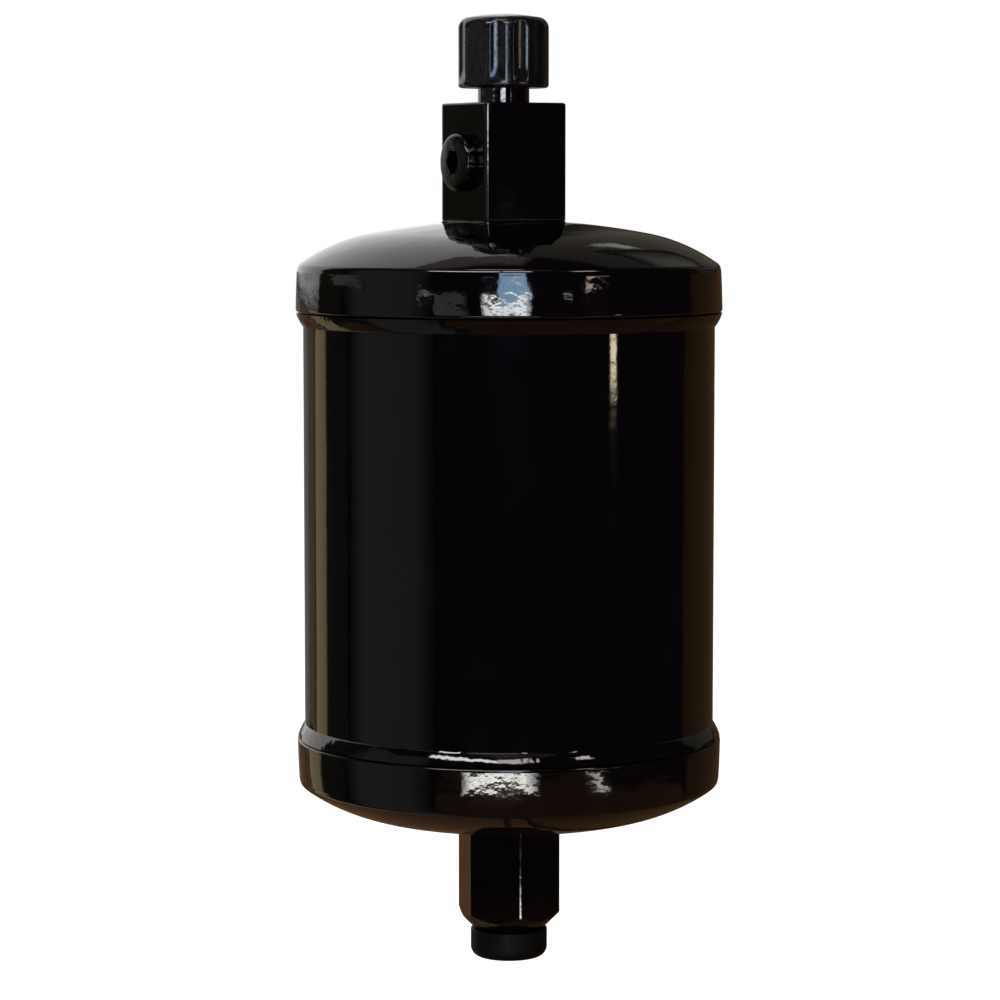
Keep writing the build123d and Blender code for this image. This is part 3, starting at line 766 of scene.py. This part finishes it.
def make_plug(thread, material):
    """A flanged plug with a round rim and a hexagon socket."""
    face = BLOCK_SIDE / 2
    underside = face + FLANGE_GAP
    top = underside + PLUG_HEAD
    end = face - POCKET_DEPTH - PLUG_THREAD
    thread_r = PORT_R - FLANGE_GAP
    outline = [(thread_r - PLUG_TIP, end), (thread_r, end + PLUG_TIP)]
    rows = 56
    outline += [(thread_r, end + PLUG_TIP + (PLUG_THREAD - PLUG_TIP) * i / rows) for i in range(1, rows + 1)]
    edge = PLUG_HEAD_R - PLUG_EDGE
    outline += [(PLUG_NECK_R, face - POCKET_DEPTH), (PLUG_NECK_R, underside), (edge, underside)]
    outline += arc_points(PLUG_EDGE, (edge, underside + PLUG_EDGE), math.pi, math.pi / 2, 4)
    outline += arc_points(PLUG_RIM, (PLUG_HEAD_R - PLUG_RIM, top - PLUG_RIM), math.pi / 2, 0, 8)
    rings = [(circle(r), z) for r, z in outline]
    socket = polygon(6, PLUG_SOCKET_AF, 0)
    rings.append((polygon(6, PLUG_SOCKET_AF + SOCKET_BREAK_WIDTH, 0, SOCKET_BREAK_WIDTH), top))
    rings.append((socket, top - SOCKET_BREAK_DEPTH))
    rings.append((socket, top - PLUG_SOCKET_DEPTH))
    plug = loft("port_plug_body", rings, steps=144)
    threaded(
        plug,
        thread,
        material,
        pitch=PORT_PITCH,
        low=end + PLUG_THREAD_START,
        high=face - POCKET_DEPTH,
        root=PLUG_NECK_R,
        fade=PLUG_THREAD_FADE,
    )
    return smooth(place(plug, AT_PORT), 30)


# Service valve


def make_stem(thread, material):
    """The service valve's stem: spigot, plain neck, thread and the bore that holds the core."""
    shoulder = STEM_TOP - VALVE_BORE
    foot = BLOCK_TOP - STEM_SPIGOT
    outline = [(STEM_BORE_R, foot), (STEM_SPIGOT_R, foot), (STEM_SPIGOT_R, BLOCK_TOP), (STEM_R, BLOCK_TOP)]
    rows = 150
    thread_top = STEM_TOP - STEM_CHAMFER
    outline += [(STEM_R, BLOCK_TOP + (thread_top - BLOCK_TOP) * i / rows) for i in range(1, rows + 1)]
    outline += [(STEM_R - STEM_CHAMFER * i / 6, thread_top + STEM_CHAMFER * i / 6) for i in range(1, 7)]
    outline += [(VALVE_BORE_R + VALVE_LIP, STEM_TOP), (VALVE_BORE_R, STEM_TOP - VALVE_LIP)]
    outline += [(VALVE_BORE_R, shoulder), (STEM_BORE_R, shoulder - VALVE_SEAT)]
    stem = turned("valve_stem_body", outline, steps=128, closed=True)
    threaded(
        stem,
        thread,
        material,
        pitch=STEM_PITCH,
        low=ACCESS_CAP_FOOT + STEM_THREAD_START,
        high=STEM_TOP + STEM_PITCH,
        root=STEM_SPIGOT_R,
        fade=STEM_THREAD_FADE,
    )
    smooth(place(stem, AT_BLOCK), 30)
    return stem


def paint_neck(stem, enamel):
    """Carries the block's enamel up the neck to just inside the cap's foot."""
    stem.data.materials.append(enamel)
    for face in stem.data.polygons:
        if face.center.z < ACCESS_CAP_FOOT + NECK_PAINT:
            face.material_index = 1


def make_valve_spring():
    """The small coil under the pin's collar, wound between the ends of its node."""
    low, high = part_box("valve_spring")
    wire = PIN_SPRING_WIRE_R
    axis_x = (low[0] + high[0]) / 2
    coil_r = (high[0] - low[0]) / 2 - wire
    foot = low[2] + wire
    rise = high[2] - wire - foot
    steps = 48 * PIN_SPRING_TURNS
    sides = 10
    slope = math.atan(rise / PIN_SPRING_TURNS / (2 * math.pi * coil_r))
    points = []
    for step in range(steps + 1):
        turn = 2 * math.pi * PIN_SPRING_TURNS * step / steps
        out = Vector((math.cos(turn), math.sin(turn), 0))
        level = math.sin(slope)
        across = Vector((math.sin(turn) * level, -math.cos(turn) * level, math.cos(slope)))
        middle = Vector((axis_x, 0, foot + rise * step / steps)) + out * coil_r
        for side in range(sides):
            round_wire = 2 * math.pi * side / sides
            sideways = out * (wire * math.cos(round_wire))
            points.append(middle + sideways + across * (wire * math.sin(round_wire)))
    faces = [tuple(range(sides)), tuple(range(steps * sides, (steps + 1) * sides))[::-1]]
    for step in range(steps):
        for side in range(sides):
            here = step * sides + side
            beside = step * sides + (side + 1) % sides
            faces.append((here, here + sides, beside + sides, beside))
    mesh = bpy.data.meshes.new("valve_spring_coil")
    mesh.from_pydata(points, [], faces)
    spring = bpy.data.objects.new("valve_spring_coil", mesh)
    bpy.context.scene.collection.objects.link(spring)
    return smooth(spring, 50)


def shorten_with_pin(spring):
    """Gives the coil its own copy of its mesh."""
    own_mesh(spring)


def make_access_cap(flutes, material):
    """A fluted cap with a rounded, slightly crowned top, hollow from below."""
    flat = ACCESS_CAP_R - CAP_EDGE_WIDTH
    rim_z = ACCESS_CAP_TOP - CAP_CROWN
    crown_r = (flat**2 + CAP_CROWN**2) / (2 * CAP_CROWN)
    crown = arc_points(crown_r, (0, ACCESS_CAP_TOP - crown_r), 0, math.asin(flat / crown_r), 14)
    side_top = rim_z - CAP_EDGE_HEIGHT
    turns = [math.pi / 2 * i / 18 for i in range(1, 19)]
    corner = [(flat + CAP_EDGE_WIDTH * math.sin(a), side_top + CAP_EDGE_HEIGHT * math.cos(a)) for a in turns]
    side_low = ACCESS_CAP_FOOT + CAP_FOOT_R
    rows = 60
    side = [(ACCESS_CAP_R, side_top + (side_low - side_top) * i / rows) for i in range(1, rows + 1)]
    foot = arc_points(CAP_FOOT_R, (ACCESS_CAP_R - CAP_FOOT_R, side_low), math.pi / 2, math.pi, 6)[1:]
    ceiling = STEM_TOP + GASKET_THICK
    mouth = CAP_MOUTH_CHAMFER
    bore = [(CAP_BORE_R + mouth, ACCESS_CAP_FOOT), (CAP_BORE_R, ACCESS_CAP_FOOT + mouth)]
    bore += [(CAP_BORE_R, ceiling), (0, ceiling)]
    cap = turned("access_cap_shell", crown + corner + side + foot + bore, steps=576)
    shaped(
        cap,
        flutes,
        material,
        count=FLUTES,
        phase=FLUTE_PHASE,
        flute_radius=FLUTE_R,
        depth=FLUTE_DEPTH,
        side=ACCESS_CAP_R,
        foot=ACCESS_CAP_FOOT + FLUTE_FOOT,
        runout=FLUTE_RUNOUT,
        inside=CAP_BORE_R + CAP_SKIN,
    )
    return smooth(place(cap, AT_BLOCK), 35)


# Outlet fitting


def make_hexagon(thread, material):
    """The hexagonal fitting: chamfered at its nose, threaded below, with a groove for its face seal."""
    corner_r = HEX_AF / math.sqrt(3)
    bar = polygon(6, HEX_AF, HEX_TURN + math.pi / 6, HEX_CORNER)
    rings = [(circle(OUTLET_BORE_R), SPIGOT_END), (circle(SPIGOT_R), SPIGOT_END)]
    rings += [(circle(SPIGOT_R), HEX_FACE), (bar, HEX_FACE), (bar, HEX_END + corner_r - HEX_NOSE_R)]
    steps = 16
    for i in range(1, steps + 1):
        share = i / steps
        nose = corner_r + (HEX_NOSE_R - corner_r) * share
        rings.append((least(bar, circle(nose)), HEX_END + (corner_r - HEX_NOSE_R) * (1 - share)))
    rings.append((circle(OUTLET_R), HEX_END))
    rows = 72
    tip = OUTLET_END + OUTLET_CHAMFER
    rings += [(circle(OUTLET_R), HEX_END + (tip - HEX_END) * i / rows) for i in range(1, rows + 1)]
    rings += [(circle(OUTLET_R - OUTLET_CHAMFER * i / 8), tip - OUTLET_CHAMFER * i / 8) for i in range(1, 9)]
    groove_top = OUTLET_END + FACE_GROOVE_DEPTH
    for radius, height in (
        (FACE_RING_R + FACE_GROOVE, OUTLET_END),
        (FACE_RING_R + FACE_GROOVE, groove_top),
        (FACE_RING_R - FACE_GROOVE, groove_top),
        (FACE_RING_R - FACE_GROOVE, OUTLET_END),
        (OUTLET_BORE_R, OUTLET_END),
    ):
        rings.append((circle(radius), height))
    fitting = loft("outlet_hexagon", rings, steps=288, closed=True)
    threaded(
        fitting,
        thread,
        material,
        pitch=OUTLET_PITCH,
        low=OUTLET_END - OUTLET_PITCH,
        high=HEX_END - OUTLET_THREAD_GAP,
        root=OUTLET_R - OUTLET_PITCH * THREAD_DEPTH_SHARE,
        fade=OUTLET_THREAD_FADE,
    )
    return weighted(smooth(fitting, 30))


def make_outlet_braze():
    """The thin fillet of braze round the hexagon's root, its own foot sunk in the dome."""
    flat = HEX_TURN + math.pi / 6
    rings = braze_rings(6, HEX_AF, flat, HEX_BRAZE_CORNER, HEX_FACE, -BRAZE_LEG)
    root = (polygon(6, HEX_AF + 2 * BRAZE_LEG, flat, HEX_BRAZE_ROOT_CORNER), HEX_FACE + HEX_BRAZE_ROOT)
    return smooth(loft("outlet_braze_fillet", [root, *rings], steps=240), 50)


def make_dust_cap():
    """The soft cap on the outlet thread, rounded at its end and at its mouth."""
    lip = DUST_CAP_LIP
    inside = OUTLET_R + DUST_CAP_SLIP
    floor_z = DUST_CAP_END + DUST_CAP_FLOOR
    outline = [(0, floor_z), (inside - OUTLET_CHAMFER, floor_z)]
    outline += [(inside, floor_z + OUTLET_CHAMFER), (inside, DUST_CAP_MOUTH)]
    outline += arc_points(lip, (DUST_CAP_R - lip, DUST_CAP_MOUTH - lip), 0, math.pi / 2, 5)
    low = DUST_CAP_END + DUST_CAP_EDGE
    high = DUST_CAP_MOUTH - lip
    outline += [(DUST_CAP_R, high - (high - low) * i / 8) for i in range(1, 8)]
    outline += arc_points(DUST_CAP_EDGE, (DUST_CAP_R - DUST_CAP_EDGE, low), math.pi / 2, math.pi, 12)
    outline += [(0, DUST_CAP_END)]
    return smooth(turned("dust_cap_body", outline, steps=144), 50)


def dress_inner_nodes(finishes):
    """Procedural finishes for the pieces that keep their CAD shape."""
    for finish, names in {
        "rubber": ("port_o_ring", "access_cap_gasket", "valve_seal", "outlet_o_ring"),
        "stem": ("valve_core_body", "valve_pin"),
        "sleeve": ("valve_core_gasket",),
        "wire": ("core_spring",),
        "pressed": ("pressure_plate", "outlet_plate", "outlet_screen"),
        "felt": ("inlet_pad", "outlet_pad", "core_seat_ring"),
        "desiccant": ("desiccant_core",),
    }.items():
        for name in names:
            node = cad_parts[name]
            node.data.materials.clear()
            node.data.materials.append(finishes[finish])


# Studio

CAMERA_X = -1.95 * MM
CAMERA_DISTANCE = 760.0 * MM
CAMERA_HEIGHT = 74.4 * MM
CAMERA_PITCH = math.radians(5.2)
SENSOR = 36.0
LENS = 126.5
FLOOR_Z = -0.125
FLOOR_REACH = 3.0
FLOOR_GLOW = 0.51
CARD_DISTANCE = 20.0
NEAR_CARDS = CARD_DISTANCE * 0.95
FAR_CARDS = CARD_DISTANCE * 1.1
ROOM_LEVEL = 0.55
GLOSS_ROOM_TINT = (0.75, 0.45, 1.0, 1)
GLOSS_ROOM_LEVEL = 0.025
LAMP_PLACE = (-0.5, -0.7, 1.6)
LAMP_SIZE = 1.2
LAMP_POWER = 14.0


def make_camera():
    lens = bpy.data.cameras.new("camera")
    lens.sensor_width = SENSOR
    lens.lens = LENS
    camera = bpy.data.objects.new("camera", lens)
    camera.location = (CAMERA_X, -CAMERA_DISTANCE, CAMERA_HEIGHT)
    camera.rotation_euler = (math.pi / 2 - CAMERA_PITCH, 0, 0)
    bpy.context.scene.collection.objects.link(camera)
    bpy.context.scene.camera = camera


def card_light(name, middle, half_width, low, high, colour, strength, soft):
    """Emission that fades over the last few degrees inside a card's edges."""
    material = bpy.data.materials.new(name)
    material.use_nodes = True
    tree = material.node_tree
    tree.nodes.clear()
    coordinates = tree.nodes.new("ShaderNodeTexCoord")
    split = tree.nodes.new("ShaderNodeSeparateXYZ")
    tree.links.new(coordinates.outputs["Object"], split.inputs[0])
    x, y, z = (Field(tree, split.outputs[i]) for i in range(3))
    across = x * math.cos(middle) + y * math.sin(middle)
    ahead = x * math.sin(middle) - y * math.cos(middle)
    degrees = 180 / math.pi
    side = across.math("ARCTAN2", ahead) * degrees
    lift = z.math("ARCTAN2", (x * x + y * y).math("SQRT")) * degrees
    level = ((side.math("ABSOLUTE") * -1.0) + half_width) / soft[0]
    rise = (lift - low) / soft[1]
    fall = ((lift * -1.0) + high) / soft[1]
    for edge in (rise, fall):
        level = level.math("MINIMUM", edge)
    level = level.math("MAXIMUM", 0.0).math("MINIMUM", 1.0) * strength
    light = tree.nodes.new("ShaderNodeEmission")
    light.inputs["Color"].default_value = (*colour, 1)
    tree.links.new(level.socket, light.inputs["Strength"])
    out = tree.nodes.new("ShaderNodeOutputMaterial")
    tree.links.new(light.outputs[0], out.inputs[0])
    return material


def card(name, left, right, low, high, colour, strength, soft=(0.5, 0.5), distance=CARD_DISTANCE):
    """A reflector card bent round the object, between two azimuths and two elevations in degrees."""
    steps = 24
    rows = 6
    mesh = bpy.data.meshes.new(name)
    points = []
    for row in range(rows + 1):
        lift = math.radians(low + (high - low) * row / rows)
        for step in range(steps + 1):
            side = math.radians(left + (right - left) * step / steps)
            flat = distance * math.cos(lift)
            points.append((flat * math.sin(side), -flat * math.cos(side), distance * math.sin(lift)))
    faces = []
    for row in range(rows):
        for step in range(steps):
            corner = row * (steps + 1) + step
            faces.append((corner, corner + 1, corner + steps + 2, corner + steps + 1))
    mesh.from_pydata(points, [], faces)
    middle = math.radians((left + right) / 2)
    mesh.materials.append(card_light(name, middle, (right - left) / 2, low, high, colour, strength, soft))
    panel = bpy.data.objects.new(name, mesh)
    bpy.context.scene.collection.objects.link(panel)
    for hidden in ("visible_camera", "visible_diffuse", "visible_shadow", "visible_transmission"):
        setattr(panel, hidden, False)


def make_cards():
    """What the gloss reflects: windows and lamps in front, pale walls behind, a dark table below."""
    near = NEAR_CARDS
    card("front_window", -6, 9.5, -0.9, 24, (0.42, 0.68, 1.0), 8.5, (1.2, 2.0))
    card("front_lamp", -54, 6, 38, 47, (1.0, 1.0, 1.0), 16.0, (6, 2))
    card("high_window", -6, 16, 38, 52, (1.0, 0.86, 0.83), 9.0, (2, 2), near)
    card("camera_lamp", -14, 10, 0.8, 2.0, (1.0, 1.0, 1.0), 20.0, (3, 0.2), near)
    card("camera_lamp_left", -50, -38, 1.4, 1.75, (1.0, 0.97, 0.95), 6.0, (3, 0.15), near)
    card("left_haze", -58, -22, -1.5, 1.7, (1.0, 0.97, 0.98), 0.55, (4, 0.3))
    card("camera_lamp_right", 30, 36, 1.75, 2.3, (1.0, 0.95, 0.9), 8.0, (1, 0.2))
    card("camera_lamp_far_left", -118, -84, 1.5, 3.4, (1.0, 0.95, 0.9), 0.4, (3, 0.4), near)
    card("low_front_lamp", -28, 17, -14.4, -12.4, (1.0, 0.98, 0.93), 20.0, (7, 0.25), near)
    card("low_right_lamp", 40, 58, -13.8, -12.6, (1.0, 0.98, 0.93), 8.0, (5, 0.3), near)
    card("right_window", 57.0, 61.2, -3.35, -2.0, (1.0, 0.86, 0.6), 18.0, (0.8, 0.5))
    card("right_panes", 42, 55.5, 2.7, 7, (1.0, 0.86, 0.66), 7.0, (1, 0.4))
    card("right_lamp", 40, 58, 38, 47, (1.0, 0.92, 0.8), 10.0, (3, 2))
    card("left_panel", -101, -40, -75, 40, (0.95, 0.93, 1.0), 0.19, (14, 3))
    card("left_gap", -122, -101, -30, 40, (1.0, 0.88, 0.6), 0.04)
    card("back_left_wall", -182, -122, -1, 60, (1.0, 0.99, 0.97), 1.05, (1.5, 1.2), near)
    card("back_left_rim", -186, -150, -12, 0, (1.0, 0.96, 0.9), 0.19, (1, 0.6))
    card("back_left_dim", -150, -139, -75, 6, (1.0, 0.74, 0.42), 0.19, (1, 2))
    card("back_left_low", -139, -122, -75, 6, (1.0, 0.82, 0.46), 0.7, (2.5, 2))
    card("left_table", -162, -145, -14.5, -9, (1.0, 0.48, 0.24), 0.2, (2, 1), near)
    card("back_right_wall", 122, 178, 4, 60, (1.0, 0.9, 0.74), 0.11, (2, 3))
    card("back_right_smear", 138, 164, 22, 46, (1.0, 0.97, 0.85), 0.24, (9, 8), near)
    card("back_right_spot", 164, 171, 30, 39, (1.0, 0.98, 0.9), 0.9, (2.5, 3), near)
    card("back_right_low", 112, 176, -75, 4, (1.0, 0.55, 0.24), 0.085, (3, 1))
    card("ceiling", -190, 40, 52, 72, (1.0, 0.74, 0.82), 0.35, (6, 6))
    card("overhead_lamp", -60, 20, 70, 82, (1.0, 0.96, 0.98), 4.0, (3, 2))
    card("table", -180, 180, -82, -11.6, (1.0, 0.52, 0.28), 0.14, (1, 1.6), FAR_CARDS)


def light_path_socket(tree, kind):
    path = tree.nodes.new("ShaderNodeLightPath")
    return path.outputs[kind]


def make_world():
    """White to the camera, a dark room to the gloss, and a pale even light to everything dull."""
    world = bpy.data.worlds.new("studio")
    bpy.context.scene.world = world
    world.use_nodes = True
    tree = world.node_tree
    tree.nodes.clear()
    room = tree.nodes.new("ShaderNodeBackground")
    room.inputs["Color"].default_value = (1, 1, 1, 1)
    room.inputs["Strength"].default_value = ROOM_LEVEL
    gloss = tree.nodes.new("ShaderNodeBackground")
    gloss.inputs["Color"].default_value = GLOSS_ROOM_TINT
    gloss.inputs["Strength"].default_value = GLOSS_ROOM_LEVEL
    white = tree.nodes.new("ShaderNodeBackground")
    white.inputs["Color"].default_value = (1, 1, 1, 1)
    to_gloss = tree.nodes.new("ShaderNodeMixShader")
    to_camera = tree.nodes.new("ShaderNodeMixShader")
    out = tree.nodes.new("ShaderNodeOutputWorld")
    tree.links.new(light_path_socket(tree, "Is Glossy Ray"), to_gloss.inputs[0])
    tree.links.new(room.outputs[0], to_gloss.inputs[1])
    tree.links.new(gloss.outputs[0], to_gloss.inputs[2])
    tree.links.new(light_path_socket(tree, "Is Camera Ray"), to_camera.inputs[0])
    tree.links.new(to_gloss.outputs[0], to_camera.inputs[1])
    tree.links.new(white.outputs[0], to_camera.inputs[2])
    tree.links.new(to_camera.outputs[0], out.inputs[0])


def make_floor():
    """A pale floor that keeps the object's shadow."""
    mesh = bpy.data.meshes.new("floor")
    signs = ((-1, -1), (1, -1), (1, 1), (-1, 1))
    corners = [(x * FLOOR_REACH, y * FLOOR_REACH, FLOOR_Z) for x, y in signs]
    mesh.from_pydata(corners, [], [(0, 1, 2, 3)])
    material, tree, shader = new_material("pale_floor")
    shader.inputs["Base Color"].default_value = (0.9, 0.89, 0.88, 1)
    shader.inputs["Roughness"].default_value = 0.9
    glow = tree.nodes.new("ShaderNodeEmission")
    glow.inputs["Strength"].default_value = FLOOR_GLOW
    both = tree.nodes.new("ShaderNodeAddShader")
    to_camera = tree.nodes.new("ShaderNodeMixShader")
    out = tree.nodes["Material Output"]
    tree.links.new(shader.outputs[0], both.inputs[0])
    tree.links.new(glow.outputs[0], both.inputs[1])
    tree.links.new(light_path_socket(tree, "Is Camera Ray"), to_camera.inputs[0])
    tree.links.new(shader.outputs[0], to_camera.inputs[1])
    tree.links.new(both.outputs[0], to_camera.inputs[2])
    tree.links.new(to_camera.outputs[0], out.inputs[0])
    mesh.materials.append(material)
    ground = bpy.data.objects.new("floor", mesh)
    ground.visible_glossy = False
    bpy.context.scene.collection.objects.link(ground)


def make_lamp():
    """One broad soft lamp above, for the shadow on the floor."""
    light = bpy.data.lights.new("soft_lamp", "AREA")
    light.size = LAMP_SIZE
    light.energy = LAMP_POWER
    lamp = bpy.data.objects.new("soft_lamp", light)
    lamp.location = LAMP_PLACE
    aim = Vector((0, 0, 0)) - lamp.location
    lamp.rotation_euler = aim.to_track_quat("-Z", "Y").to_euler()
    lamp.visible_camera = False
    lamp.visible_glossy = False
    bpy.context.scene.collection.objects.link(lamp)


def make_model():
    finishes = make_finishes()
    thread = thread_tree()
    flutes = flute_tree()
    weld = weld_tree()
    make_canister(finishes, weld)
    finished(make_block(), finishes["block"], "canister", "inlet_block")
    finished(make_inlet_braze(), finishes["seam"], "canister", "inlet_braze")
    finished(make_plug(thread, finishes["plug"]), finishes["plug"], "port_plug", "port_plug")
    stem = make_stem(thread, finishes["stem"])
    finished(stem, finishes["stem"], "canister", "valve_stem")
    paint_neck(stem, finishes["block"])
    cap = make_access_cap(flutes, finishes["access_cap"])
    finished(cap, finishes["access_cap"], "access_cap", "access_cap")
    fitting = make_hexagon(thread, finishes["hexagon"])
    finished(fitting, finishes["hexagon"], "canister", "outlet_fitting")
    finished(make_outlet_braze(), finishes["seam"], "canister", "outlet_braze")
    finished(make_dust_cap(), finishes["dust_cap"], "dust_cap", "dust_cap")
    spring = finished(make_valve_spring(), finishes["wire"], "canister", "valve_spring")
    shorten_with_pin(spring)
    dress_inner_nodes(finishes)


bpy.context.scene.view_settings.view_transform = "Standard"
make_camera()
make_model()
make_world()
make_floor()
make_lamp()
make_cards()
